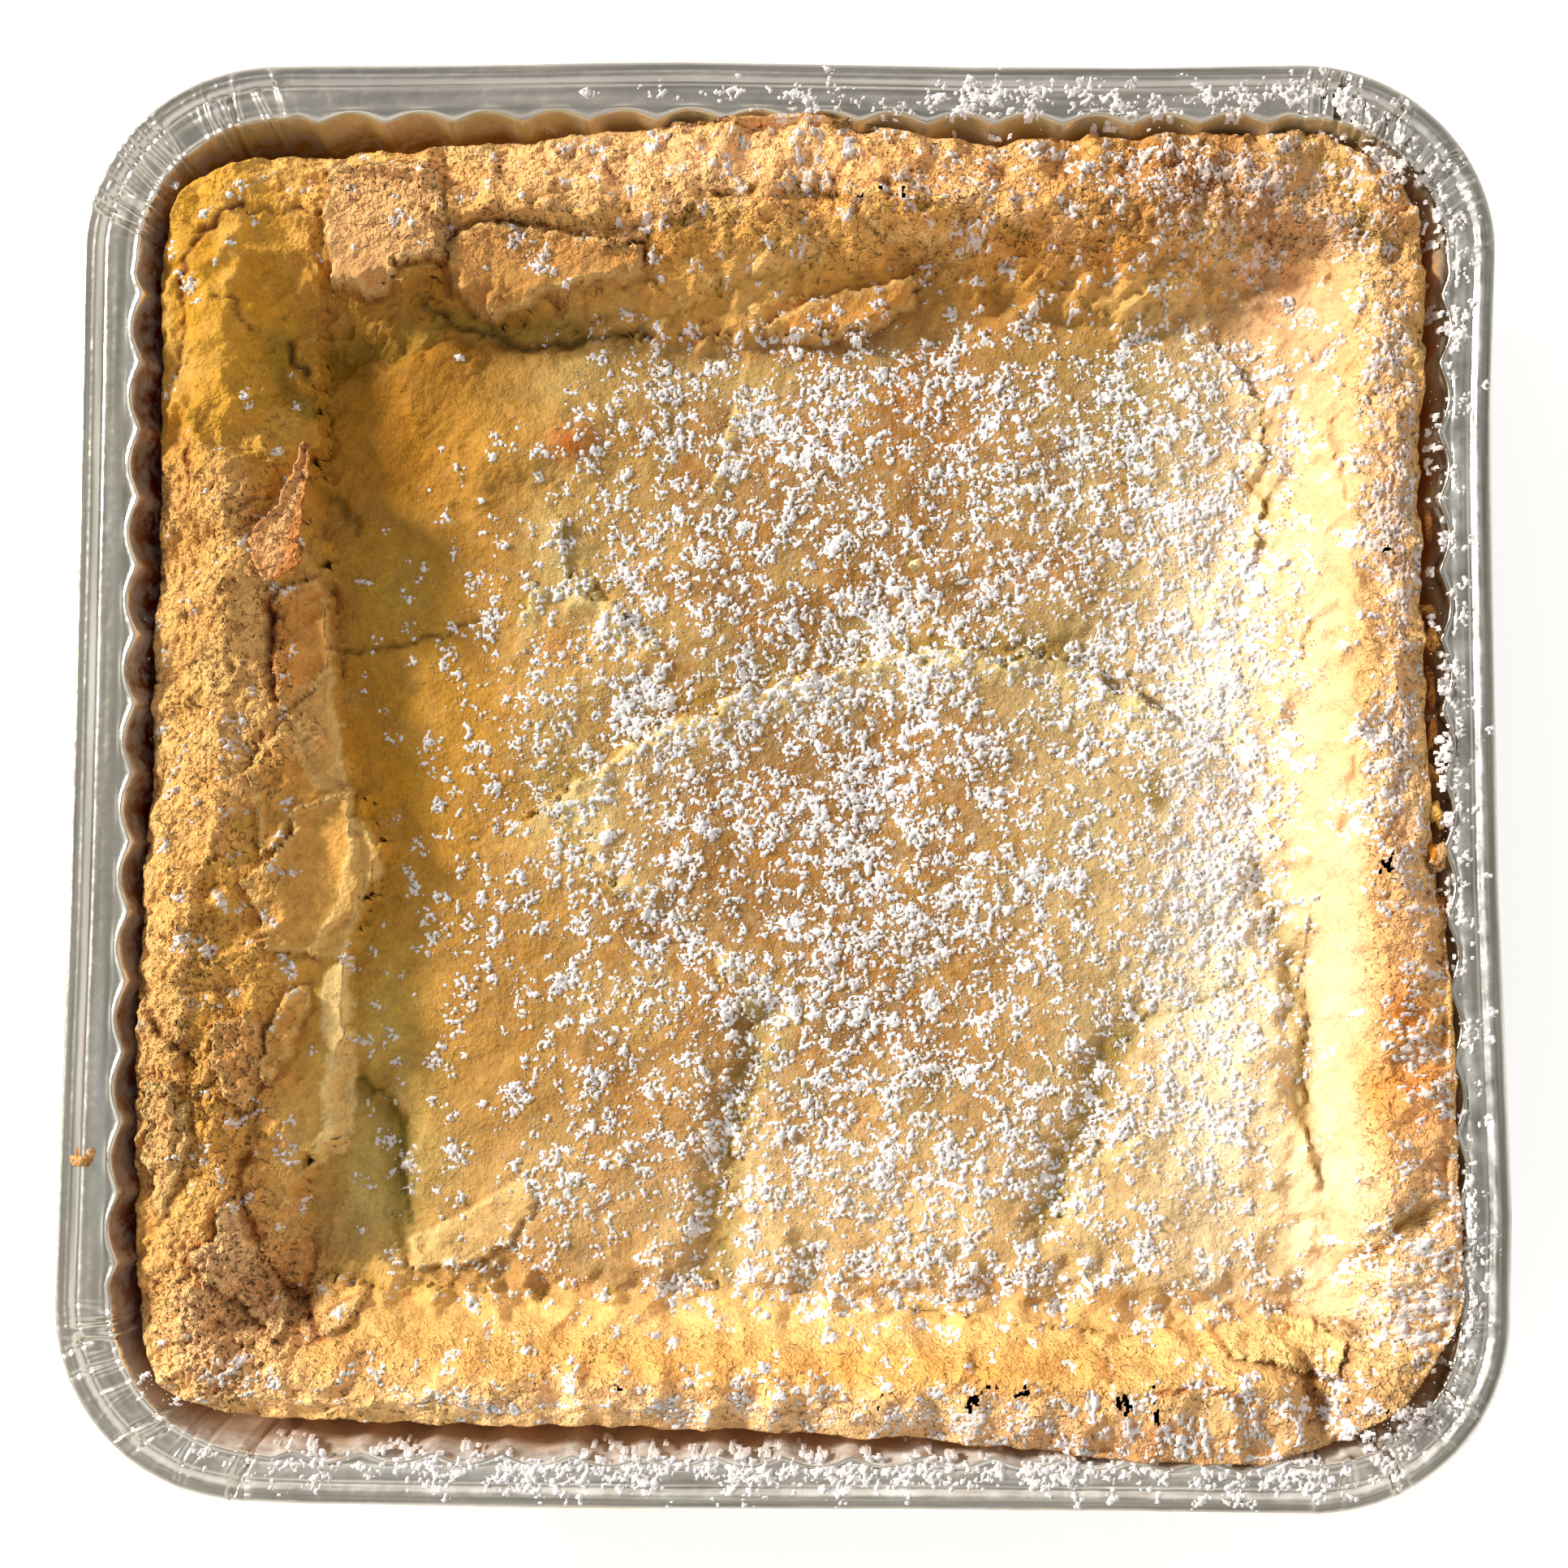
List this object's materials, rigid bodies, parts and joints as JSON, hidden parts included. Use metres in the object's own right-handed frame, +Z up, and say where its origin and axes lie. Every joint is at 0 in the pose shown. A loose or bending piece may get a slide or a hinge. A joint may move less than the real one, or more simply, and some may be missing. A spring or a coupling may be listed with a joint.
{
  "type": "gooey butter cake in a foil pan",
  "caption": "Uncut square gooey butter cake with a browned craggy border, a sunken middle and powdered sugar, in its own fluted foil pan.",
  "frame": {"origin": "centre of the pan's base, on the surface that the pan stands on", "axes": "+Z up; +X to the right and +Y away from the viewer in the picture, each along a side of the square pan"},
  "size_m": [0.2061, 0.2088, 0.0389],
  "materials": {
    "foil": "bright pressed foil, finely wrinkled, with baked-on brown residue inside",
    "cake": "baked cake: golden to brown crust, pale moist middle, dusted with powdered sugar"
  },
  "bodies": {
    "root": {"foil_pan": "foil", "cake": "cake"}
  },
  "joints": []
}
